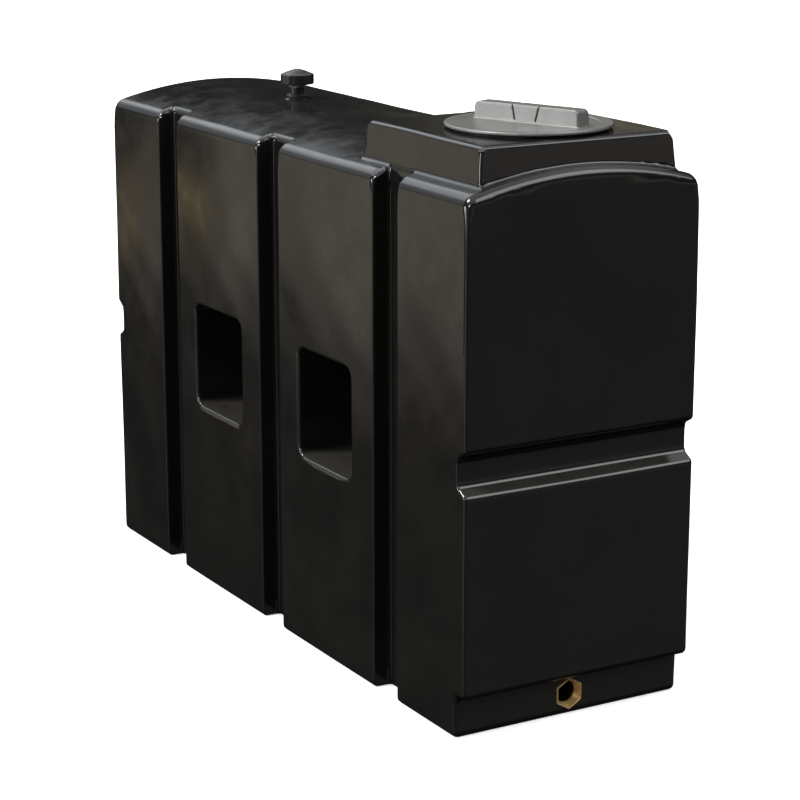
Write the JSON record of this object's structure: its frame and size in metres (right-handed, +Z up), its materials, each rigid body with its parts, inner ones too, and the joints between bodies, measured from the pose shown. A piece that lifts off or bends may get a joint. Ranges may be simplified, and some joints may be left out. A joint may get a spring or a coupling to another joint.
{
  "type": "fresh water tank",
  "caption": "Slimline barrel-roofed moulded water tank with side grooves, tie-through openings, strap grooves, a screw lid on a raised plinth, a roof vent and a brass outlet.",
  "frame": {"origin": "middle of the tank's base, on the surface it stands on", "axes": "+X along the tank towards the outlet end, +Y across it, +Z up"},
  "size_m": [1.63, 0.536, 1.2136],
  "materials": {
    "black_polyethylene": "satin-gloss rotomoulded black",
    "grey_plastic": "glossy moulded dark grey, slightly weathered",
    "black_plastic": "moulded black",
    "rubber": "matt black rubber",
    "brass": "machined brass, slightly tarnished",
    "steel_mesh": "woven stainless mesh"
  },
  "bodies": {
    "tank": {"tank_shell": "black_polyethylene", "outlet_insert": "brass", "neck_ring": "black_plastic", "vent_body": "black_plastic", "vent_outer_washer": "rubber", "vent_inner_washer": "rubber", "vent_back_nut": "black_plastic"},
    "lid_gasket": {"lid_seal": "rubber"},
    "lid": {"lid": "grey_plastic"},
    "insect_screen": {"vent_screen": "steel_mesh"},
    "vent_cap": {"vent_cap": "black_plastic"}
  },
  "joints": [
    {"name": "lid_lift", "type": "slide", "parent": "tank", "child": "lid_gasket", "axis": [0, 0, 1], "range_m": [0, 0.25]},
    {"name": "lid_turn", "type": "hinge", "parent": "lid_gasket", "child": "lid", "pos_m": [0.606, 0, 1.176], "axis": [0, 0, 1], "range_deg": [0, 450]},
    {"name": "vent_cap_lift", "type": "slide", "parent": "tank", "child": "insect_screen", "axis": [0, 0, 1], "range_m": [0, 0.1]},
    {"name": "vent_cap_turn", "type": "hinge", "parent": "insect_screen", "child": "vent_cap", "pos_m": [-0.367, 0, 1.16], "axis": [0, 0, 1], "range_deg": [0, 630]}
  ]
}
